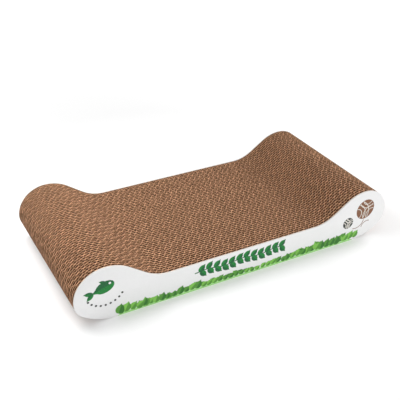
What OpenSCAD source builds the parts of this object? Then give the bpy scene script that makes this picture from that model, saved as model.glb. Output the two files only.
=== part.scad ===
// Cat scratcher: a stack of die-cut corrugated boards glued face to face
// between two outer panels. X runs along the length, Y across the stack and
// Z up. The origin is on the floor, at the middle of the underside.

/* [Outline] */
// Overall length, nose to nose
body_l = 480; // [400:5:600]
// Height of the raised ends
end_h = 78; // [72:1:95]
// Height of the flat seat between the raised ends
seat_h = 42.5; // [36:0.5:52]
// Height above the floor of the two noses, where the part is longest
nose_h = 36.5; // [32:0.5:42]
// Radius of the outline just below each nose
under_nose_r = 27; // [20:1:30]
// Angle that the outline turns below the nose before the wide heel arc
under_nose_turn = 52; // [40:1:60]
// Radius of the dip where the seat meets the slope
dip_r = 56; // [40:1:65]
// Radius of the inner shoulder, where the slope meets the top
shoulder_r = 54; // [40:1:65]
// Steepness of the slope between seat and shoulder
slope_angle = 35; // [25:1:42]

/* [Corrugated board] */
// Number of boards in the stack
board_count = 54; // [4:1:54]
// Thickness of one board, liner to liner
board_t = 4; // [3:0.1:6]
// Length of one wave of the fluted middle sheet
flute_pitch = 8.4; // [8.4:0.1:16]
// Thickness of the flat liner on each face
liner_t = 0.3; // [0.25:0.05:0.6]
// Thickness of the fluted middle sheet
medium_t = 0.4; // [0.25:0.05:0.5]

/* [Outer panels] */
// Thickness of the smooth panel on each side of the stack
panel_t = 2; // [1:0.1:5]

/* [Hidden] */
// A board can be cut at this many places along the wave
cut_places = 12;
// Each board's step on to the next cutting place grows by this many places
step_growth = 5;
// Line of glue between the crests of the wave and the liners
glue_t = 0.02;
// How far a cutting shape runs past what it cuts
overrun = 2;
// Two lines of the outline that run into each other smoothly cross by this step
blend_step = 0.002;
// A round part runs on by this angle inside the body or the hollow that it blends into
blend_turn = 5;
// Sides of each round, for the preview
arc_fn = 180;
kraft_color = "peru";
panel_color = "whitesmoke";

half_l = body_l / 2;
stack_t = board_count * board_t;
body_w = stack_t + 2 * panel_t;

under_nose_c = [half_l - under_nose_r, nose_h];
crown_r = end_h - nose_h;
crown_c = [half_l - blend_step - crown_r, nose_h];
shoulder_c = [crown_c[0], end_h - blend_step - shoulder_r];

slope_along = [cos(slope_angle), sin(slope_angle)];
slope_out = [-sin(slope_angle), cos(slope_angle)];
slope_top = shoulder_c + (shoulder_r - blend_step) * slope_out;
slope_foot_h = seat_h - blend_step + dip_r - (dip_r - blend_step) * cos(slope_angle);
slope_foot = slope_top - (slope_top[1] - slope_foot_h) / sin(slope_angle) * slope_along;
dip_c = slope_foot + (dip_r - blend_step) * slope_out;

heel_rise_share = sin(under_nose_turn);
heel_r = (nose_h + blend_step - (under_nose_r - blend_step) * heel_rise_share) / (1 - heel_rise_share);
heel_to_under_nose = heel_r - under_nose_r + blend_step;
heel_c = under_nose_c - heel_to_under_nose * [cos(under_nose_turn), -sin(under_nose_turn)];

half_pitch = flute_pitch / 2;
gap_t = board_t - 2 * liner_t - 2 * glue_t;
flank_angle = atan(gap_t / half_pitch);
medium_half_y = medium_t / 2 / cos(flank_angle);
crest_y = gap_t / 2 - medium_half_y;

function two_digits(n) = n < 10 ? str("0", n) : str(n);
function board_name(n) = str("board_", two_digits(n));
function board_y(n) = (n - 1) * board_t - stack_t / 2;
function turned_over(n) = n % 2 == 0;
function cut_place(n) = (step_growth * n * (n + 1) / 2) % cut_places;
function phase(n) = (turned_over(n) ? -1 : 1) * flute_pitch * cut_place(n) / cut_places;

// A pie slice of a disc, from angle a0 to a1
module slice(centre, r, a0, a1) {
  reach = 4 * r;
  from = reach * [cos(a0), sin(a0)];
  to = reach * [cos(a1), sin(a1)];
  translate(centre)
    intersection() {
      circle(r = r, $fn = arc_fn);
      polygon([[0, 0], from, from + to, to]);
    }
}

// The corners of the right half outline, from its underside round to the seat
half_corners = [
  [heel_c[0], -overrun],
  [heel_c[0], nose_h / 2],
  under_nose_c - [0, under_nose_r / 2],
  under_nose_c + [under_nose_r / 2, 0],
  slope_top,
  slope_foot,
  [dip_c[0], seat_h]
];

// The round parts of the right half outline, where arcs bulge past its corners
module half_rounds() {
  slice(heel_c, heel_r, -90 - blend_turn, -under_nose_turn);
  slice(under_nose_c, under_nose_r, -under_nose_turn - blend_turn, blend_turn);
  slice(crown_c, crown_r, 0, 90 + blend_turn);
  slice(shoulder_c, shoulder_r, 90, 90 + slope_angle + blend_turn);
}

// The hollow of the right half outline, where the seat turns up into the slope
module half_dip() {
  slice(dip_c, dip_r, -90 - blend_turn, -90 + slope_angle + blend_turn);
}

// The side outline: a flat seat between two raised rounded ends, on a flat underside
module outline() {
  last = len(half_corners) - 1;
  difference() {
    union() {
      polygon(concat(half_corners,
        [for (k = [last : -1 : 0]) [-half_corners[k][0], half_corners[k][1]]]));
      half_rounds();
      mirror([1, 0]) half_rounds();
    }
    half_dip();
    mirror([1, 0]) half_dip();
    translate([-half_l, -end_h]) square([body_l, end_h]);
  }
}

// The outline cut through a sheet of thickness t, from y = 0 to y = t
module die_cut(t) {
  translate([0, t, 0]) rotate([90, 0, 0]) linear_extrude(t) outline();
}

// Plan section of the middle sheet: a zigzag strip from one liner's glue to the other's
module wave_section(shift) {
  last = ceil(half_l / half_pitch) + 2;
  crests = [
    for (k = [-last : last])
      [(k + 1 / 2) * half_pitch + shift, k % 2 == 0 ? crest_y : -crest_y]
  ];
  polygon(concat(
    [for (crest = crests) crest + [0, medium_half_y]],
    [for (k = [len(crests) - 1 : -1 : 0]) crests[k] - [0, medium_half_y]]
  ));
}

// The middle sheet of one board, its flutes upright, from y = 0 to y = board_t
module fluted_sheet(shift) {
  intersection() {
    die_cut(board_t);
    translate([0, board_t / 2, -overrun])
      linear_extrude(end_h + 2 * overrun) wave_section(shift);
  }
}

// One die-cut corrugated board: the fluted sheet between two flat liners
module board(n) {
  color(kraft_color)
    translate([0, board_y(n), 0]) {
      die_cut(liner_t);
      fluted_sheet(phase(n));
      translate([0, board_t - liner_t, 0]) die_cut(liner_t);
    }
}

module front_panel() {
  color(panel_color) translate([0, -body_w / 2, 0]) die_cut(panel_t);
}

module back_panel() {
  color(panel_color) translate([0, stack_t / 2, 0]) die_cut(panel_t);
}

front_panel();
back_panel();
for (n = [1 : board_count]) board(n);
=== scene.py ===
# %% [markdown]
# # A cardboard cat scratcher
# The real object is a lounge for a cat to lie on and scratch. It is a stack of corrugated boards, all
# die-cut to one outline and glued face to face, with a smooth panel on each long side. The front panel
# is printed. The CAD frame gives every board its place. Here each board is modelled again with rounded
# flutes, and each material gets the detail of real paper.

# %% Load the frame
import bpy
import math
import random
from mathutils import Matrix, Vector


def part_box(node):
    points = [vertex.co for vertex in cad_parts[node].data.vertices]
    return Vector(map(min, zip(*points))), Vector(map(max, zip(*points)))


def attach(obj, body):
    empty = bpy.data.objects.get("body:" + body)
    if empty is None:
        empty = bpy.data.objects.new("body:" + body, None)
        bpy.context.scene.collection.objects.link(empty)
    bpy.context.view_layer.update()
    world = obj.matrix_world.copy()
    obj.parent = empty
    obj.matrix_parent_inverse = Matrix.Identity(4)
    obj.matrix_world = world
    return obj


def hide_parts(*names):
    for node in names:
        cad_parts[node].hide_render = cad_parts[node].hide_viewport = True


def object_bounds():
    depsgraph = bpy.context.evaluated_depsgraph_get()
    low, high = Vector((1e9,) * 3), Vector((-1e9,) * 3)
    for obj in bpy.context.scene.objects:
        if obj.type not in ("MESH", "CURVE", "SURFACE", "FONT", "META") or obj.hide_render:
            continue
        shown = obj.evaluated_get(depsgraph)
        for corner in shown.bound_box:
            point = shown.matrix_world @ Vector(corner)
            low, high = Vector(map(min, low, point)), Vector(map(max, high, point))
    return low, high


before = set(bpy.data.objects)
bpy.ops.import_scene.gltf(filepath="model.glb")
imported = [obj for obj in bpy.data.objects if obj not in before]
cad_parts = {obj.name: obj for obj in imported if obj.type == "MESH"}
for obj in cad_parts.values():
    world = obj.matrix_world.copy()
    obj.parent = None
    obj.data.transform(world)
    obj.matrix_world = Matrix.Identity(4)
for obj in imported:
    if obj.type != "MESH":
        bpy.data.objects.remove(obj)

cad_low, cad_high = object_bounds()
MM = 0.001
print("the CAD box is", [round(v / MM, 1) for v in (cad_high - cad_low)], "mm")

# %% [markdown]
# ## Sizes
# The length, the height of the ends and the width come from the frame. The rest of the side outline has
# the same driving sizes as the CAD: two heights, three radii and two angles. The radii of the crown and
# of the heel follow from them.

# %% Sizes of the outline and of the board
HALF_LENGTH = cad_high.x
END_HEIGHT = cad_high.z
SEAT_HEIGHT = 42.5 * MM
NOSE_HEIGHT = 36.5 * MM
UNDER_NOSE_RADIUS = 27 * MM
UNDER_NOSE_TURN = math.radians(52)
DIP_RADIUS = 56 * MM
SHOULDER_RADIUS = 54 * MM
SLOPE_ANGLE = math.radians(35)

board_nodes = sorted(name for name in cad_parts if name.startswith("board_"))
board_low, board_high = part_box(board_nodes[0])
BOARD_THICKNESS = board_high.y - board_low.y
LINER_THICKNESS = 0.3 * MM
MEDIUM_THICKNESS = 0.4 * MM
FLUTE_PITCH = 8.4 * MM
FLANK_ANGLE = math.radians(52)
print(len(board_nodes), "boards,", round(BOARD_THICKNESS / MM, 2), "mm thick")

# %% [markdown]
# ## Camera
# The camera stands where the outline of the object in the photo says, found by fitting the side outline
# to the picture: in front of the left end, looking down at about 31 degrees.

# %% Camera
CAMERA_PLACE = Vector((-430.3, -726.2, 568.0)) * MM
CAMERA_AZIMUTH = math.radians(-30.07)
CAMERA_ELEVATION = math.radians(31.16)
CAMERA_ROLL = math.radians(1.97)
FOCAL_PIXELS = 692.45
IMAGE_PIXELS = 400
SENSOR_WIDTH = 36
NEAR_CLIP = 0.01


def add_camera():
    forward = Vector((
        -math.sin(CAMERA_AZIMUTH) * math.cos(CAMERA_ELEVATION),
        math.cos(CAMERA_AZIMUTH) * math.cos(CAMERA_ELEVATION),
        -math.sin(CAMERA_ELEVATION),
    ))
    right = Vector((math.cos(CAMERA_AZIMUTH), math.sin(CAMERA_AZIMUTH), 0))
    up = right.cross(forward)
    rolled_right = math.cos(CAMERA_ROLL) * right + math.sin(CAMERA_ROLL) * up
    rolled_up = math.cos(CAMERA_ROLL) * up - math.sin(CAMERA_ROLL) * right
    data = bpy.data.cameras.new("camera")
    data.sensor_fit = "HORIZONTAL"
    data.sensor_width = SENSOR_WIDTH
    data.lens = FOCAL_PIXELS / IMAGE_PIXELS * SENSOR_WIDTH
    data.clip_start = NEAR_CLIP
    camera = bpy.data.objects.new("camera", data)
    bpy.context.scene.collection.objects.link(camera)
    turn = Matrix((rolled_right, rolled_up, -forward)).transposed()
    camera.matrix_world = Matrix.Translation(CAMERA_PLACE) @ turn.to_4x4()
    bpy.context.scene.camera = camera
    print("lens", round(data.lens, 1), "mm")


add_camera()

# %% [markdown]
# ## Floor and light
# The floor is a plain pale sheet. To a camera ray it also glows a little, so that it reads as white where
# the light falls on it and keeps the soft shadow beside the object, without more light on the cardboard.
# It has no glow under the object, where it would shine up through the open flutes. That covered patch
# stops short of the rounded ends, which stand clear of the floor.
# The light is a near soft lamp over the left end, one from the right and a wide one low in front, in a
# pale world all round. Seen from the camera, the left end is the brightest, as in the photo.


# %% Helpers for shader nodes
def new_material(name):
    material = bpy.data.materials.new(name)
    material.use_nodes = True
    material.node_tree.nodes.clear()
    return material


def add_node(tree, kind, inputs=None, **settings):
    node = tree.nodes.new(kind)
    for key, value in settings.items():
        setattr(node, key, value)
    for key, value in (inputs or {}).items():
        if isinstance(value, bpy.types.NodeSocket):
            tree.links.new(value, node.inputs[key])
        else:
            node.inputs[key].default_value = value
    return node


def math_node(tree, operation, first, second):
    return add_node(tree, "ShaderNodeMath", {0: first, 1: second}, operation=operation).outputs[0]


def choose_by_ray(tree, for_light, for_camera):
    ray = add_node(tree, "ShaderNodeLightPath")
    return add_node(tree, "ShaderNodeMixShader", {
        0: ray.outputs["Is Camera Ray"], 1: for_light.outputs[0], 2: for_camera.outputs[0]})


def set_surface(tree, shader, kind="ShaderNodeOutputMaterial"):
    add_node(tree, kind, {"Surface": shader.outputs[0]})


# %% Floor
WHITE = (1, 1, 1, 1)
FLOOR_COLOR = (0.80, 0.80, 0.80, 1)
FLOOR_SIZE = 6.0
FLOOR_GAP = 0.02 * MM
NEAR_GLOW = 0.22
FAR_GLOW = 0.9
NEAR_REACH = 0.45
FAR_REACH = 1.2
COVERED_SHARE = 0.75
COVERED_INSET = 1 * MM
COVERED_X = cad_high.x * COVERED_SHARE
COVERED_Y = cad_high.y - COVERED_INSET


def floor_material():
    material = new_material("floor_white")
    tree = material.node_tree
    paper = add_node(tree, "ShaderNodeBsdfDiffuse", {"Color": FLOOR_COLOR})
    place = add_node(tree, "ShaderNodeTexCoord").outputs["Object"]
    distance = add_node(tree, "ShaderNodeVectorMath", {0: place}, operation="LENGTH")
    strength = add_node(tree, "ShaderNodeMapRange", {
        "Value": distance.outputs["Value"], "From Min": NEAR_REACH, "From Max": FAR_REACH,
        "To Min": NEAR_GLOW, "To Max": FAR_GLOW})
    sides = add_node(tree, "ShaderNodeVectorMath", {0: place}, operation="ABSOLUTE")
    split = add_node(tree, "ShaderNodeSeparateXYZ", {0: sides.outputs[0]})
    beyond_end = math_node(tree, "GREATER_THAN", split.outputs["X"], COVERED_X)
    beyond_side = math_node(tree, "GREATER_THAN", split.outputs["Y"], COVERED_Y)
    uncovered = math_node(tree, "MAXIMUM", beyond_end, beyond_side)
    outside = math_node(tree, "MULTIPLY", strength.outputs["Result"], uncovered)
    glow = add_node(tree, "ShaderNodeEmission", {"Color": WHITE, "Strength": outside})
    lit = add_node(tree, "ShaderNodeAddShader", {0: paper.outputs[0], 1: glow.outputs[0]})
    set_surface(tree, choose_by_ray(tree, paper, lit))
    return material


bpy.ops.object.select_all(action="DESELECT")
bpy.ops.mesh.primitive_plane_add(size=FLOOR_SIZE, location=(0, 0, -FLOOR_GAP))
bpy.ops.object.transform_apply(location=True, rotation=True, scale=True)
floor = bpy.context.object
floor.name = "floor"
floor.data.materials.append(floor_material())
print("a floor", FLOOR_SIZE, "m wide")

# %% Lamps and world
LAMPS = {
    "left": {"place": (-0.36, 0.12, 0.50), "target": (-0.22, 0, 0.05), "size": 0.4, "watts": 2.5},
    "right": {"place": (1.0, 0.20, 0.50), "target": (0.05, 0, 0.05), "size": 0.5, "watts": 6},
    "front": {"place": (0.6, -1.9, 0.45), "target": (0.05, 0, 0.04), "size": 1.4, "watts": 22},
}
WORLD_LIGHT = 0.45
WORLD_SEEN = 1.0


def add_lamp(name, place, target, size, watts):
    data = bpy.data.lights.new(name, "AREA")
    data.shape = "DISK"
    data.size = size
    data.energy = watts
    lamp = bpy.data.objects.new(name, data)
    bpy.context.scene.collection.objects.link(lamp)
    lamp.location = place
    lamp.rotation_euler = (Vector(target) - Vector(place)).to_track_quat("-Z", "Y").to_euler()
    lamp.visible_camera = False


def add_world():
    world = bpy.data.worlds.new("studio")
    world.use_nodes = True
    tree = world.node_tree
    tree.nodes.clear()
    light = add_node(tree, "ShaderNodeBackground", {"Color": WHITE, "Strength": WORLD_LIGHT})
    seen = add_node(tree, "ShaderNodeBackground", {"Color": WHITE, "Strength": WORLD_SEEN})
    set_surface(tree, choose_by_ray(tree, light, seen), "ShaderNodeOutputWorld")
    bpy.context.scene.world = world


for lamp_name, lamp_settings in LAMPS.items():
    add_lamp(lamp_name, **lamp_settings)
add_world()
bpy.context.scene.view_settings.view_transform = "Standard"
print(len(LAMPS), "lamps in a pale world")

# %% [markdown]
# ## Paper
# Corrugated board is made of kraft paper. Up close it is a mat of fibres: specks, faint streaks along the
# sheet, and a soft mottling. One node group draws that for every paper on the object, so each material
# only sets its own colours and how strong the marks are. The Mix node has one pair of inputs for each
# kind of value, all with the same names, so its colours are found by their numbers.

# %% Sizes and strengths of the fibres
FIBRE_STRETCH = (1, 1, 0.25)
FIBRE_NOISE = {"Scale": 1400, "Detail": 3, "Roughness": 0.6}
MOTTLE_NOISE = {"Scale": 160, "Detail": 4, "Roughness": 0.55}
NOISE_MEAN = 0.5
FLECK_START = 0.46
FLECK_FULL = 0.72
MIX_COLOR_A = 6
MIX_COLOR_B = 7
MIX_RESULT = 2


# %% Node group: paper fibres
def paper_group():
    group = bpy.data.node_groups.new("paper_fibres", "ShaderNodeTree")
    side = group.interface
    side.new_socket("Color", in_out="INPUT", socket_type="NodeSocketColor")
    side.new_socket("Fleck Color", in_out="INPUT", socket_type="NodeSocketColor")
    side.new_socket("Fleck Amount", in_out="INPUT", socket_type="NodeSocketFloat")
    side.new_socket("Mottle Amount", in_out="INPUT", socket_type="NodeSocketFloat")
    side.new_socket("Color", in_out="OUTPUT", socket_type="NodeSocketColor")
    side.new_socket("Height", in_out="OUTPUT", socket_type="NodeSocketFloat")
    given = group.nodes.new("NodeGroupInput")
    place = add_node(group, "ShaderNodeTexCoord").outputs["Object"]
    stretch = add_node(group, "ShaderNodeMapping", {"Vector": place, "Scale": FIBRE_STRETCH})
    fibres = add_node(group, "ShaderNodeTexNoise", {"Vector": stretch.outputs[0], **FIBRE_NOISE})
    mottle = add_node(group, "ShaderNodeTexNoise", {"Vector": place, **MOTTLE_NOISE})
    fleck = add_node(group, "ShaderNodeMapRange", {
        "Value": fibres.outputs["Fac"], "From Min": FLECK_START, "From Max": FLECK_FULL,
        "To Min": 0, "To Max": 1})
    fleck_share = math_node(
        group, "MULTIPLY", fleck.outputs["Result"], given.outputs["Fleck Amount"])
    flecked = add_node(group, "ShaderNodeMix", {
        "Factor": fleck_share, MIX_COLOR_A: given.outputs["Color"],
        MIX_COLOR_B: given.outputs["Fleck Color"]}, data_type="RGBA")
    centred = math_node(group, "SUBTRACT", mottle.outputs["Fac"], NOISE_MEAN)
    swing = math_node(group, "MULTIPLY", centred, given.outputs["Mottle Amount"])
    level = math_node(group, "ADD", swing, 1.0)
    shaded = add_node(group, "ShaderNodeVectorMath", {
        0: flecked.outputs[MIX_RESULT], "Scale": level}, operation="SCALE")
    add_node(group, "NodeGroupOutput", {
        "Color": shaded.outputs[0], "Height": fibres.outputs["Fac"]})
    return group


PAPER = paper_group()
print("the paper group has", len(PAPER.nodes), "nodes")

# %% Paper materials
KRAFT_FLECK = (0.16, 0.065, 0.026)
PANEL_FLECK = (0.72, 0.72, 0.71)
PANEL_EDGE_FLECK = (0.48, 0.45, 0.41)
BUMP_STRENGTH = 0.35
SPECULAR_LEVEL = 0.25


def paper_material(name, color, fleck_color, *, fleck, mottle, rough, relief):
    material = new_material(name)
    tree = material.node_tree
    paper = add_node(tree, "ShaderNodeGroup", {
        "Color": (*color, 1), "Fleck Color": (*fleck_color, 1),
        "Fleck Amount": fleck, "Mottle Amount": mottle}, node_tree=PAPER)
    bump = add_node(tree, "ShaderNodeBump", {
        "Height": paper.outputs["Height"], "Strength": BUMP_STRENGTH, "Distance": relief})
    shader = add_node(tree, "ShaderNodeBsdfPrincipled", {
        "Base Color": paper.outputs["Color"], "Roughness": rough, "Normal": bump.outputs[0],
        "Specular IOR Level": SPECULAR_LEVEL})
    set_surface(tree, shader)
    return material


# Painted shade: the two liners and the fluted sheet are kraft made far darker, for the shade inside the
# open flutes, where their faces are seen.
outer_liner_in_painted_shade = paper_material(
    "outer_liner_in_painted_shade", (0.045, 0.019, 0.008), KRAFT_FLECK,
    fleck=0.2, mottle=0.30, rough=0.85, relief=0.02 * MM)
inner_liner_in_painted_shade = paper_material(
    "inner_liner_in_painted_shade", (0.03, 0.012, 0.005), KRAFT_FLECK,
    fleck=0.1, mottle=0.30, rough=0.85, relief=0.02 * MM)
medium_in_painted_shade = paper_material(
    "medium_in_painted_shade", (0.09, 0.038, 0.016), KRAFT_FLECK,
    fleck=0.25, mottle=0.35, rough=0.9, relief=0.03 * MM)
cut_edge_paper = paper_material(
    "cut_edge_paper", (0.83, 0.445, 0.252), KRAFT_FLECK,
    fleck=0.20, mottle=1.6, rough=0.95, relief=0.05 * MM)
panel_paper = paper_material(
    "panel_paper", (0.80, 0.80, 0.80), PANEL_FLECK,
    fleck=0.25, mottle=0.04, rough=0.5, relief=0.004 * MM)
panel_edge_paper = paper_material(
    "panel_edge_paper", (0.66, 0.64, 0.60), PANEL_EDGE_FLECK,
    fleck=0.5, mottle=0.15, rough=0.9, relief=0.04 * MM)
print(len(bpy.data.materials), "materials")

# %% [markdown]
# ## The die-cut outline
# Every board and both panels are stamped by one die, so the outline is modelled once. It is drawn as a
# draftsman would: half of the seat is a plane, and its end is carried on by spins for the arcs and by an
# extrusion for the straight slope, round the nose and back along the floor. A mirror gives the other
# half, and filling the two sides makes it solid.

# %% Helpers to select, turn and copy
def only(piece):
    bpy.ops.object.select_all(action="DESELECT")
    piece.select_set(True)
    bpy.context.view_layer.objects.active = piece


def select_vertices(piece, wanted):
    bpy.ops.object.mode_set(mode="EDIT")
    bpy.ops.mesh.select_mode(type="VERT")
    bpy.ops.mesh.select_all(action="DESELECT")
    bpy.ops.object.mode_set(mode="OBJECT")
    for vertex in piece.data.vertices:
        vertex.select = wanted(vertex.co)
    bpy.ops.object.mode_set(mode="EDIT")


def turn_and_move(piece, turn=None, move=(0, 0, 0)):
    only(piece)
    if turn:
        bpy.ops.transform.rotate(value=turn, orient_axis="Z", center_override=(0, 0, 0))
    bpy.ops.transform.translate(value=move)
    bpy.ops.object.transform_apply(location=True, rotation=True, scale=True)


def copy_of(piece, name):
    only(piece)
    bpy.ops.object.duplicate()
    twin = bpy.context.object
    twin.name = name
    return twin


# %% Helpers to close a mesh and to apply a modifier
WELD_DISTANCE = 0.001 * MM
MERGE_DISTANCE = 0.01 * MM


def close_and_turn_outwards(piece):
    only(piece)
    bpy.ops.object.mode_set(mode="EDIT")
    bpy.ops.mesh.select_all(action="SELECT")
    bpy.ops.mesh.remove_doubles(threshold=WELD_DISTANCE)
    bpy.ops.mesh.fill_holes(sides=0)
    bpy.ops.mesh.select_all(action="SELECT")
    bpy.ops.mesh.normals_make_consistent(inside=False)
    bpy.ops.object.mode_set(mode="OBJECT")


def apply_modifier(piece, kind, **settings):
    only(piece)
    modifier = piece.modifiers.new(kind.lower(), kind)
    for key, value in settings.items():
        setattr(modifier, key, value)
    bpy.ops.object.modifier_apply(modifier=modifier.name)


# %% Where the arcs of the outline lie
CROWN_RADIUS = END_HEIGHT - NOSE_HEIGHT
crown_x = HALF_LENGTH - CROWN_RADIUS
slope_rise = END_HEIGHT - SEAT_HEIGHT - (DIP_RADIUS + SHOULDER_RADIUS) * (1 - math.cos(SLOPE_ANGLE))
slope_run = slope_rise / math.tan(SLOPE_ANGLE)
dip_x = crown_x - (SHOULDER_RADIUS + DIP_RADIUS) * math.sin(SLOPE_ANGLE) - slope_run
under_nose_x = HALF_LENGTH - UNDER_NOSE_RADIUS
heel_radius = (NOSE_HEIGHT - UNDER_NOSE_RADIUS * math.sin(UNDER_NOSE_TURN)) / (
    1 - math.sin(UNDER_NOSE_TURN))
heel_x = under_nose_x - (heel_radius - UNDER_NOSE_RADIUS) * math.cos(UNDER_NOSE_TURN)
print("the seat ends at", round(dip_x / MM, 1), "mm, the underside at", round(heel_x / MM, 1), "mm")

# %% The outline, stamped from a sheet
DIP_STEPS = 8
SHOULDER_STEPS = 8
CROWN_STEPS = 18
UNDER_NOSE_STEPS = 10
HEEL_STEPS = 6


def spin_on(steps, angle, center_x, center_z, upwards=False):
    axis = (0, 1, 0) if upwards else (0, -1, 0)
    bpy.ops.mesh.spin(steps=steps, angle=angle, center=(center_x, 0, center_z), axis=axis)


def extrude_on(x, z):
    bpy.ops.mesh.extrude_region_move(TRANSFORM_OT_translate={"value": (x, 0, z)})


def die_cut_sheet(name, thickness, middle_y):
    bpy.ops.object.select_all(action="DESELECT")
    bpy.ops.mesh.primitive_plane_add(size=1, location=(dip_x / 2, 0, SEAT_HEIGHT))
    sheet = bpy.context.object
    sheet.name = name
    bpy.ops.transform.resize(value=(dip_x, thickness, 1))
    bpy.ops.object.transform_apply(location=True, rotation=True, scale=True)
    select_vertices(sheet, lambda at: at.x > dip_x / 2)
    spin_on(DIP_STEPS, SLOPE_ANGLE, dip_x, SEAT_HEIGHT + DIP_RADIUS, upwards=True)
    extrude_on(slope_run, slope_rise)
    spin_on(SHOULDER_STEPS, SLOPE_ANGLE, crown_x, END_HEIGHT - SHOULDER_RADIUS)
    spin_on(CROWN_STEPS, math.pi / 2, crown_x, NOSE_HEIGHT)
    spin_on(UNDER_NOSE_STEPS, UNDER_NOSE_TURN, under_nose_x, NOSE_HEIGHT)
    spin_on(HEEL_STEPS, math.pi / 2 - UNDER_NOSE_TURN, heel_x, heel_radius)
    extrude_on(-heel_x, 0)
    bpy.ops.object.mode_set(mode="OBJECT")
    apply_modifier(sheet, "MIRROR", merge_threshold=MERGE_DISTANCE)
    close_and_turn_outwards(sheet)
    turn_and_move(sheet, move=(0, middle_y, 0))
    return sheet


# %% [markdown]
# ## The fluted sheet
# The middle sheet of corrugated board is a wave with round crests and straight flanks. One flank is a
# standing plane; its edge is spun round the crest, extruded down the next flank and spun round the
# trough. An array repeats that wave along the board, Solidify gives the paper its thickness, and the die
# cuts it to the outline. The crests sink a little into the liners, as into their glue. Each board is cut
# from the web at another place along the wave. The CAD steps along the wave by a rule, and the same rule
# here puts every flute where the CAD has it.

# %% Shape of one wave
SEATED_SHARE = 0.9
inner_gap = BOARD_THICKNESS - 2 * LINER_THICKNESS
wave_height = inner_gap - MEDIUM_THICKNESS * SEATED_SHARE
half_pitch = FLUTE_PITCH / 2
crest_radius = (half_pitch * math.sin(FLANK_ANGLE) - wave_height * math.cos(FLANK_ANGLE)) / (
    2 * (1 - math.cos(FLANK_ANGLE)))
flank_rise = wave_height - 2 * crest_radius * (1 - math.cos(FLANK_ANGLE))
flank_run = flank_rise / math.tan(FLANK_ANGLE)
print("crest radius", round(crest_radius / MM, 2), "mm, flank", round(flank_rise / MM, 2), "mm high")

# %% The web: one wave, repeated and thickened
WEB_MARGIN = 2 * MM
CREST_STEPS = 5
SPARE_WAVES = 4
waves = math.ceil(2 * HALF_LENGTH / FLUTE_PITCH) + SPARE_WAVES


def spin_round_crest(center_x, center_y, axis_z):
    bpy.ops.mesh.spin(
        steps=CREST_STEPS, angle=2 * FLANK_ANGLE, center=(center_x, center_y, 0),
        axis=(0, 0, axis_z))


def one_wave():
    bpy.ops.object.select_all(action="DESELECT")
    bpy.ops.mesh.primitive_plane_add(size=1)
    wave = bpy.context.object
    wave.name = "wave"
    flank = math.hypot(flank_run, flank_rise)
    bpy.ops.transform.resize(value=(flank, END_HEIGHT + 2 * WEB_MARGIN, 1))
    wave.rotation_euler = (math.pi / 2, 0, FLANK_ANGLE)
    wave.location = (0, 0, END_HEIGHT / 2)
    bpy.ops.object.transform_apply(location=True, rotation=True, scale=True)
    select_vertices(wave, lambda at: at.x > 0)
    crest_x = half_pitch / 2
    crest_y = wave_height / 2 - crest_radius
    spin_round_crest(crest_x, crest_y, 1)
    bpy.ops.mesh.extrude_region_move(TRANSFORM_OT_translate={"value": (flank_run, -flank_rise, 0)})
    spin_round_crest(crest_x + half_pitch, -crest_y, -1)
    bpy.ops.object.mode_set(mode="OBJECT")
    return wave


web = one_wave()
apply_modifier(
    web, "ARRAY", count=waves, use_relative_offset=False, use_constant_offset=True,
    constant_offset_displace=(FLUTE_PITCH, 0, 0), use_merge_vertices=True,
    merge_threshold=MERGE_DISTANCE)
turn_and_move(web, move=(-(waves // 2) * FLUTE_PITCH, 0, 0))
apply_modifier(web, "SOLIDIFY", thickness=MEDIUM_THICKNESS, offset=0)
# The fluted sheet's dark colour is painted shade, for the inside of the flutes.
web.data.materials.append(medium_in_painted_shade)
print("the web has", len(web.data.polygons), "faces")

# %% The web at each cutting place along the wave, cut by the die
CUT_PLACES = 12
STEP_GROWTH = 5
die = die_cut_sheet("die", BOARD_THICKNESS, 0)
die.data.materials.append(cut_edge_paper)


def cut_place(board_number):
    return STEP_GROWTH * board_number * (board_number + 1) // 2 % CUT_PLACES


def cut_flutes(place):
    fluted = copy_of(web, "flutes_%d" % place)
    turn_and_move(fluted, move=(FLUTE_PITCH * place / CUT_PLACES, 0, 0))
    apply_modifier(
        fluted, "BOOLEAN", operation="INTERSECT", object=die, solver="EXACT",
        material_mode="TRANSFER")
    return fluted


used_places = sorted({cut_place(number + 1) for number in range(len(board_nodes))})
cut_sheets = {place: cut_flutes(place) for place in used_places}
print("cut sheets with", [len(sheet.data.polygons) for sheet in cut_sheets.values()], "faces")

# %% [markdown]
# ## Boards
# A board is the fluted sheet between two flat liners. The liners are stamped by the same die, so each is
# the outline again, only thinner. The faces of both liners and the fluted sheet are coloured far darker
# than kraft. That dark is painted shade, for the shade inside the open flutes, where these faces are
# seen. One liner is a little paler than the other, and every second board is turned over, so that like
# liners meet in the stack. One pattern of a board is joined for each cutting place. The patterns are then
# repeated through the stack, each copy with its own mesh at the place that the frame gives.

# %% Liners
RIM_NORMAL_LIMIT = 0.5


def stamp(name, thickness, middle_y, face_paper, rim_paper):
    sheet = die_cut_sheet(name, thickness, middle_y)
    sheet.data.materials.append(face_paper)
    sheet.data.materials.append(rim_paper)
    for face in sheet.data.polygons:
        face.material_index = 1 if abs(face.normal.y) < RIM_NORMAL_LIMIT else 0
    return sheet


liner_y = (BOARD_THICKNESS - LINER_THICKNESS) / 2
# The liners' faces take the dark colours of painted shade, for the inside of the flutes. Their rims take
# the colour of the cut edge.
outer_liner = stamp("outer_liner", LINER_THICKNESS, -liner_y, outer_liner_in_painted_shade, cut_edge_paper)
inner_liner = stamp("inner_liner", LINER_THICKNESS, liner_y, inner_liner_in_painted_shade, cut_edge_paper)
print("liners with", len(outer_liner.data.polygons), "faces each")


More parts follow.
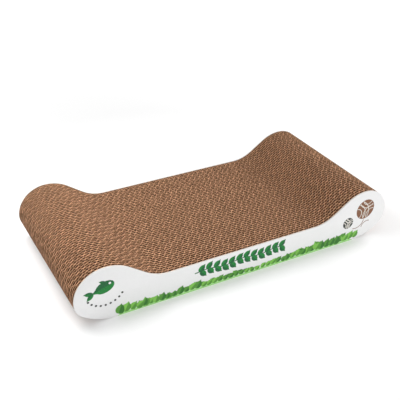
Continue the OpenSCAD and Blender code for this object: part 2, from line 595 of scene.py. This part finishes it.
# %% Board patterns
def board_pattern(place):
    parts = [cut_sheets[place], copy_of(outer_liner, "front"), copy_of(inner_liner, "back")]
    bpy.ops.object.select_all(action="DESELECT")
    for part in parts:
        part.select_set(True)
    bpy.context.view_layer.objects.active = parts[0]
    bpy.ops.object.join()
    parts[0].name = "pattern_%d" % place
    return parts[0]


patterns = {place: board_pattern(place) for place in used_places}
print(len(patterns), "board patterns")

# %% Stack the boards
for number, node in enumerate(board_nodes, start=1):
    node_low, node_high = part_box(node)
    board = copy_of(patterns[cut_place(number)], "scratch_" + node)
    turned_over = math.pi if number % 2 == 0 else None
    turn_and_move(board, turn=turned_over, move=(0, (node_low.y + node_high.y) / 2, 0))
    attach(board, "root")
    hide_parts(node)

for helper in [*patterns.values(), web, die, outer_liner, inner_liner]:
    bpy.data.objects.remove(helper)
print("stacked", len(board_nodes), "boards")

# %% [markdown]
# ## Outer panels
# Each long side is closed by a smooth panel, stamped by the same die from thin solid board. Its rim shows
# the bare core of the board, and the die rounds the rim over a little. The outer face of each panel lies
# a hair inside the frame's, so that the ink on the front one, which is modelled as thin flat shapes, ends
# flush with the frame.

# %% Panels
PANEL_BEVEL = 0.2 * MM
BEVEL_SEGMENTS = 2
BEVEL_ANGLE = math.radians(60)
SMOOTH_ANGLE = math.radians(30)
INK_DEPTH = 0.12 * MM


def panel(name, node, faces_front):
    low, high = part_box(node)
    front = low.y + INK_DEPTH if faces_front else low.y
    back = high.y if faces_front else high.y - INK_DEPTH
    sheet = stamp(name, back - front, (front + back) / 2, panel_paper, panel_edge_paper)
    apply_modifier(sheet, "BEVEL", width=PANEL_BEVEL, segments=BEVEL_SEGMENTS,
                   limit_method="ANGLE", angle_limit=BEVEL_ANGLE)
    bpy.ops.object.shade_smooth_by_angle(angle=SMOOTH_ANGLE)
    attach(sheet, "root")
    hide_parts(node)
    print(name, "is", round((back - front) / MM, 2), "mm thick")


panel("panel_front", "front_panel", faces_front=True)
panel("panel_back", "back_panel", faces_front=False)

# %% [markdown]
# ## Print
# The print is this model's own: a hedge of leaves along the floor, a leafy garland in the middle, a
# fish with bubbles on the left end and two balls of yarn on the right one. Flat shapes made from planes
# and circles give crisp edges, as ink has. A leaf is an oval with one end pulled out to a tip. Its model,
# with one colour above the midrib and a darker one below, is then repeated. Shapes that overlap lie on
# different layers, each a hair behind the one before.

# %% Ink colours
INK_FLECK = (0.8, 0.82, 0.78)


def ink(name, color):
    return paper_material(
        name, color, INK_FLECK, fleck=0.05, mottle=0.25, rough=0.42, relief=0.002 * MM)


leaf_light = ink("leaf_light", (0.20, 0.50, 0.08))
leaf_dark = ink("leaf_dark", (0.035, 0.17, 0.025))
leaf_middle = ink("leaf_middle", (0.09, 0.29, 0.04))
grass_pale = ink("grass_pale", (0.36, 0.70, 0.25))
deep_green = ink("deep_green", (0.008, 0.20, 0.032))
deep_green_shade = ink("deep_green_shade", (0.006, 0.11, 0.03))
yarn_brown = ink("yarn_brown", (0.21, 0.09, 0.045))
ink_grey = ink("ink_grey", (0.035, 0.04, 0.035))
yarn_white = ink("yarn_white", (0.72, 0.69, 0.63))
print(len(bpy.data.materials), "materials with the inks")

# %% Ink on the front panel
PRINT_FACE = cad_low.y
LAYER_STEP = 0.012 * MM


def thicken_ink(shape, layer):
    face_y = PRINT_FACE + layer * LAYER_STEP
    apply_modifier(shape, "SOLIDIFY", thickness=INK_DEPTH, offset=-1)
    low = min(vertex.co.y for vertex in shape.data.vertices)
    turn_and_move(shape, move=(0, face_y - low, 0))


def join_print(name, shapes):
    bpy.ops.object.select_all(action="DESELECT")
    for shape in shapes:
        shape.select_set(True)
    bpy.context.view_layer.objects.active = shapes[0]
    bpy.ops.object.join()
    shapes[0].name = name
    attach(shapes[0], "root")
    print(name, "is made of", len(shapes), "shapes")


# %% Strips and discs
FACING_FRONT = (math.pi / 2, 0, 0)
BALL_CORNERS = 32
DOT_CORNERS = 16


def flat_strip(name, length, height, x, z):
    bpy.ops.object.select_all(action="DESELECT")
    bpy.ops.mesh.primitive_plane_add(size=1, rotation=FACING_FRONT)
    strip = bpy.context.object
    strip.name = name
    bpy.ops.transform.resize(value=(length, 1, height))
    bpy.ops.transform.translate(value=(x, 0, z))
    bpy.ops.object.transform_apply(location=True, rotation=True, scale=True)
    return strip


def flat_disc(name, radius, paper, x, z, layer, corners):
    bpy.ops.object.select_all(action="DESELECT")
    bpy.ops.mesh.primitive_circle_add(
        vertices=corners, radius=radius, fill_type="NGON", location=(x, 0, z), rotation=FACING_FRONT)
    disc = bpy.context.object
    disc.name = name
    bpy.ops.object.transform_apply(location=True, rotation=True, scale=True)
    disc.data.materials.append(paper)
    thicken_ink(disc, layer)
    return disc


# %% Leaves
LEAF_CORNERS = 16
LEAF_OVAL = 0.8
LEAF_TIP_FROM = 0.39
LEAF_TIP_PULL = 0.16


def flat_leaf(name, length, width, light, dark):
    bpy.ops.object.select_all(action="DESELECT")
    bpy.ops.mesh.primitive_circle_add(
        vertices=LEAF_CORNERS, radius=0.5, fill_type="NGON", rotation=FACING_FRONT)
    leaf = bpy.context.object
    leaf.name = name
    bpy.ops.transform.resize(value=(length * LEAF_OVAL, 1, width))
    bpy.ops.object.transform_apply(location=True, rotation=True, scale=True)
    select_vertices(leaf, lambda at: at.x > length * LEAF_TIP_FROM)
    bpy.ops.transform.translate(value=(length * LEAF_TIP_PULL, 0, 0))
    bpy.ops.mesh.select_all(action="SELECT")
    bpy.ops.mesh.bisect(plane_co=(0, 0, 0), plane_no=(0, 0, 1))
    bpy.ops.object.mode_set(mode="OBJECT")
    leaf.data.materials.append(light)
    leaf.data.materials.append(dark)
    for face in leaf.data.polygons:
        face.material_index = 1 if face.center.z < 0 else 0
    turn_and_move(leaf, move=(length * LEAF_OVAL / 2, 0, 0))
    return leaf


def print_leaf(model, x, z, angle, size, layer):
    leaf = copy_of(model, "leaf")
    bpy.ops.transform.resize(value=(size, 1, size))
    bpy.ops.transform.rotate(value=angle, orient_axis="Y", center_override=(0, 0, 0))
    bpy.ops.transform.translate(value=(x, 0, z))
    bpy.ops.object.transform_apply(location=True, rotation=True, scale=True)
    thicken_ink(leaf, layer)
    return leaf


# %% How far the hedge and the garland reach
HEDGE_START = -186 * MM
HEDGE_END = 186 * MM
GARLAND_START = -74 * MM
GARLAND_END = 62 * MM
PRINT_SEED = 5
chance = random.Random(PRINT_SEED)

# %% [markdown]
# The hedge is a strip of pale grass with leaves in tufts that lean both ways. Under the garland the tufts
# are low and lie flatter, to leave the garland free. A leaf that lies flatter reaches further down from
# its stalk, so its stalk stands higher. Sizes are shares of the leaf that is repeated, leans are in
# degrees and the heights of the stalks in millimetres.

# %% Sizes of the hedge
HEDGE_STEP = 4.2 * MM
HEDGE_LAYERS = 6
HEDGE_LEAF_LENGTH = 12 * MM
HEDGE_LEAF_WIDTH = 9 * MM
LIGHT_LEAF_SHARE = 0.55
LEAVES_IN_TUFT = 4
TUFT_SIZES = (0.9, 1.5)
TUFT_LEANS = (35, 85)
LOW_TUFT_SIZES = (0.75, 0.95)
LOW_TUFT_LEANS = (30, 55)
SIZES_IN_TUFT = (0.8, 1.1)
STALK_HEIGHTS = (0.4, 1.4)
GRASS_HEIGHT = 3.4 * MM
GRASS_TAPER = 0.96
GRASS_LAYER = HEDGE_LAYERS

# %% Hedge of leaves along the floor
hedge_leaf = flat_leaf("hedge_leaf", HEDGE_LEAF_LENGTH, HEDGE_LEAF_WIDTH, leaf_light, leaf_middle)
hedge_leaf_shaded = flat_leaf(
    "hedge_leaf_shaded", HEDGE_LEAF_LENGTH, HEDGE_LEAF_WIDTH, leaf_middle, leaf_dark)


def grass_strip():
    middle_z = GRASS_HEIGHT / 2 + PANEL_BEVEL
    strip = flat_strip(
        "grass", HEDGE_END - HEDGE_START, GRASS_HEIGHT, (HEDGE_START + HEDGE_END) / 2, middle_z)
    select_vertices(strip, lambda at: at.z > middle_z)
    bpy.ops.transform.resize(value=(GRASS_TAPER, 1, 1))
    bpy.ops.object.mode_set(mode="OBJECT")
    strip.data.materials.append(grass_pale)
    thicken_ink(strip, GRASS_LAYER)
    return strip


def hedge():
    shapes = [grass_strip()]
    for k in range(round((HEDGE_END - HEDGE_START) / HEDGE_STEP)):
        x = HEDGE_START + (k + 0.5) * HEDGE_STEP
        low = GARLAND_START < x < GARLAND_END
        if k % LEAVES_IN_TUFT == 0:
            tuft = chance.uniform(*(LOW_TUFT_SIZES if low else TUFT_SIZES))
        lean = math.radians(chance.uniform(*(LOW_TUFT_LEANS if low else TUFT_LEANS)))
        size = tuft * chance.uniform(*SIZES_IN_TUFT)
        reach_down = HEDGE_LEAF_WIDTH / 2 * size * math.cos(lean)
        height = reach_down + chance.uniform(*STALK_HEIGHTS) * MM
        if k % 2:
            lean = math.pi - lean
        model = hedge_leaf if chance.random() < LIGHT_LEAF_SHARE else hedge_leaf_shaded
        shapes.append(print_leaf(model, x, height, lean, size, k % HEDGE_LAYERS))
    return shapes


join_print("hedge_print", hedge())

# %% [markdown]
# The garland is a stem that swings up and down a little, with a pair of leaves at each step along it.

# %% Sizes of the garland
GARLAND_HEIGHT = 28 * MM
GARLAND_SWING = 1.6 * MM
GARLAND_WAVES = 2.5
GARLAND_LAYERS = 5
LEAF_PAIRS = 12
FIRST_PAIR = 0.25
GARLAND_LEAF_LENGTH = 15 * MM
GARLAND_LEAF_WIDTH = 9 * MM
GARLAND_LEAF_SIZE = 0.95
GARLAND_LEANS = (40, 52)
LOWER_LEAF_SHIFT = 2 * MM
STEM_WIDTH = 1.6 * MM
STEM_STEPS = 40
STEM_LAYER = GARLAND_LAYERS

# %% Garland in the middle
garland_leaf = flat_leaf(
    "garland_leaf", GARLAND_LEAF_LENGTH, GARLAND_LEAF_WIDTH, deep_green, deep_green_shade)


def stem_height(x):
    share = (x - GARLAND_START) / (GARLAND_END - GARLAND_START)
    return GARLAND_HEIGHT + GARLAND_SWING * math.sin(2 * math.pi * GARLAND_WAVES * share)


def garland_stem():
    step = (GARLAND_END - GARLAND_START) / STEM_STEPS
    first_x = GARLAND_START - step / 2
    stem = flat_strip("stem", step, STEM_WIDTH, first_x, stem_height(GARLAND_START))
    select_vertices(stem, lambda at: at.x > first_x)
    for k in range(STEM_STEPS):
        x = GARLAND_START + k * step
        extrude_on(step, stem_height(x + step) - stem_height(x))
    bpy.ops.object.mode_set(mode="OBJECT")
    stem.data.materials.append(deep_green_shade)
    thicken_ink(stem, STEM_LAYER)
    return stem


def garland():
    shapes = [garland_stem()]
    for k in range(LEAF_PAIRS):
        x = GARLAND_START + (k + FIRST_PAIR) * (GARLAND_END - GARLAND_START) / LEAF_PAIRS
        for side in (1, -1):
            lean = math.radians(side * chance.uniform(*GARLAND_LEANS))
            at = x + (LOWER_LEAF_SHIFT if side < 0 else 0)
            layer = (k + side) % GARLAND_LAYERS
            shapes.append(
                print_leaf(garland_leaf, at, stem_height(at), lean, GARLAND_LEAF_SIZE, layer))
    return shapes


join_print("garland_print", garland())

# %% [markdown]
# The fish is made in the same way as the leaves: a wide leaf for its body, and narrow ones for its tail
# and its back fin. TAIL_FINS gives each tail fin's layer and its lean in degrees. Places on the fish are
# measured along it and across it, from a point near its middle.

# %% Sizes of the fish and its bubbles
FISH_PLACE = (-200 * MM, 50 * MM)
FISH_LENGTH = 32 * MM
FISH_WIDTH = 17 * MM
FISH_TILT = math.radians(18)
FISH_NOSE = FISH_LENGTH * 0.4
FISH_TAIL = -FISH_LENGTH * 0.5
FISH_LAYER = 3
FIN_LENGTH = 12 * MM
FIN_WIDTH = 5.5 * MM
TAIL_FIN_SIZE = 1.1
TAIL_FINS = ((4, 28), (6, -28))
BACK_FIN_PLACE = (3 * MM, 6 * MM)
BACK_FIN_LEAN = math.radians(140)
BACK_FIN_SIZE = 0.8
BACK_FIN_LAYER = 5
EYE_PLACE = (7.5 * MM, 2 * MM)
EYE_RADIUS = 1.7 * MM
EYE_LAYER = 1
BUBBLES = 9
BUBBLE_RADIUS = 1.5 * MM
BUBBLE_LAYER = 0
BUBBLE_ARC_RADIUS = 27 * MM
BUBBLE_ARC_ANGLE = math.radians(110)


# %% Fish on the left end
def on_fish(along, across):
    x, z = FISH_PLACE
    turned_x = along * math.cos(FISH_TILT) - across * math.sin(FISH_TILT)
    turned_z = along * math.sin(FISH_TILT) + across * math.cos(FISH_TILT)
    return x + turned_x, z + turned_z


def bubble(k):
    angle = BUBBLE_ARC_ANGLE * (k / (BUBBLES - 1) - 0.5) - math.pi / 2
    x = FISH_PLACE[0] + BUBBLE_ARC_RADIUS * math.cos(angle)
    z = FISH_PLACE[1] + BUBBLE_ARC_RADIUS * math.sin(angle)
    return flat_disc("bubble", BUBBLE_RADIUS, ink_grey, x, z, BUBBLE_LAYER, DOT_CORNERS)


def fish():
    body = flat_leaf("body", FISH_LENGTH, FISH_WIDTH, deep_green, deep_green_shade)
    fin = flat_leaf("fin", FIN_LENGTH, FIN_WIDTH, deep_green, deep_green_shade)
    backwards = FISH_TILT + math.pi
    shapes = [print_leaf(body, *on_fish(FISH_NOSE, 0), backwards, 1, FISH_LAYER)]
    for layer, lean in TAIL_FINS:
        angle = backwards + math.radians(lean)
        shapes.append(print_leaf(fin, *on_fish(FISH_TAIL, 0), angle, TAIL_FIN_SIZE, layer))
    shapes.append(print_leaf(
        fin, *on_fish(*BACK_FIN_PLACE), FISH_TILT + BACK_FIN_LEAN, BACK_FIN_SIZE, BACK_FIN_LAYER))
    shapes.append(flat_disc(
        "eye", EYE_RADIUS, panel_paper, *on_fish(*EYE_PLACE), EYE_LAYER, DOT_CORNERS))
    shapes.extend(bubble(k) for k in range(BUBBLES))
    for model in (body, fin):
        bpy.data.objects.remove(model)
    return shapes


join_print("fish_print", fish())

# %% [markdown]
# A ball of yarn is a disc with pale strands on it. Each strand is an arc about a point on the ball's rim:
# STRANDS gives that point's angle in degrees and the arc's radius as a share of the ball's. Every strand
# has a layer of its own, in front of the ball.

# %% Sizes of the yarn
STRAND_WIDTH = 1.1 * MM
STRAND_START = 0.2 * MM
STRAND_STEPS = 14
STRAND_INSET = math.radians(6)
STRANDS = ((200, 0.55), (200, 0.95), (200, 1.35), (80, 0.5), (80, 0.85), (320, 0.6), (320, 0.95))
BALL_LAYER = len(STRANDS)
BIG_BALL_PLACE = (202 * MM, 48 * MM)
BIG_BALL_RADIUS = 16 * MM
SMALL_BALL_PLACE = (173 * MM, 32 * MM)
SMALL_BALL_RADIUS = 9 * MM
THREAD_HALF_TURN = math.radians(50)
THREAD_PLACE = (188 * MM, 33 * MM)
THREAD_RADIUS = 14 * MM
THREAD_MIDDLE = math.radians(-60)
THREAD_END_PLACE = (209 * MM, 17 * MM)
THREAD_END_RADIUS = 10 * MM
THREAD_END_MIDDLE = math.radians(120)


# %% Balls of yarn on the right end
def arc_strip(name, centre, radius, middle, half_turn, paper, layer):
    strip = flat_strip(name, STRAND_WIDTH, STRAND_START, radius, 0)
    select_vertices(strip, lambda at: at.z > 0)
    bpy.ops.mesh.spin(steps=STRAND_STEPS, angle=2 * half_turn, center=(0, 0, 0), axis=(0, 1, 0))
    bpy.ops.object.mode_set(mode="OBJECT")
    bpy.ops.object.select_all(action="DESELECT")
    strip.select_set(True)
    bpy.ops.transform.rotate(value=middle - half_turn, orient_axis="Y", center_override=(0, 0, 0))
    bpy.ops.transform.translate(value=(centre[0], 0, centre[1]))
    bpy.ops.object.transform_apply(location=True, rotation=True, scale=True)
    strip.data.materials.append(paper)
    thicken_ink(strip, layer)
    return strip


def yarn_ball(place, radius, wool):
    x, z = place
    shapes = [flat_disc("ball", radius, wool, x, z, BALL_LAYER, BALL_CORNERS)]
    for layer, (rim_angle, share) in enumerate(STRANDS):
        rim = math.radians(rim_angle)
        rim_place = (x + radius * math.cos(rim), z + radius * math.sin(rim))
        reach = share * radius
        half_turn = math.acos(reach / (2 * radius)) - STRAND_INSET
        shapes.append(
            arc_strip("strand", rim_place, reach, rim + math.pi, half_turn, yarn_white, layer))
    return shapes


yarn = yarn_ball(BIG_BALL_PLACE, BIG_BALL_RADIUS, yarn_brown)
yarn += yarn_ball(SMALL_BALL_PLACE, SMALL_BALL_RADIUS, ink_grey)
yarn.append(arc_strip(
    "thread", THREAD_PLACE, THREAD_RADIUS, THREAD_MIDDLE, THREAD_HALF_TURN,
    yarn_brown, BALL_LAYER + 1))
yarn.append(arc_strip(
    "thread_end", THREAD_END_PLACE, THREAD_END_RADIUS, THREAD_END_MIDDLE, THREAD_HALF_TURN,
    yarn_brown, BALL_LAYER + 2))
join_print("yarn_print", yarn)

for model in (hedge_leaf, hedge_leaf_shaded, garland_leaf):
    bpy.data.objects.remove(model)
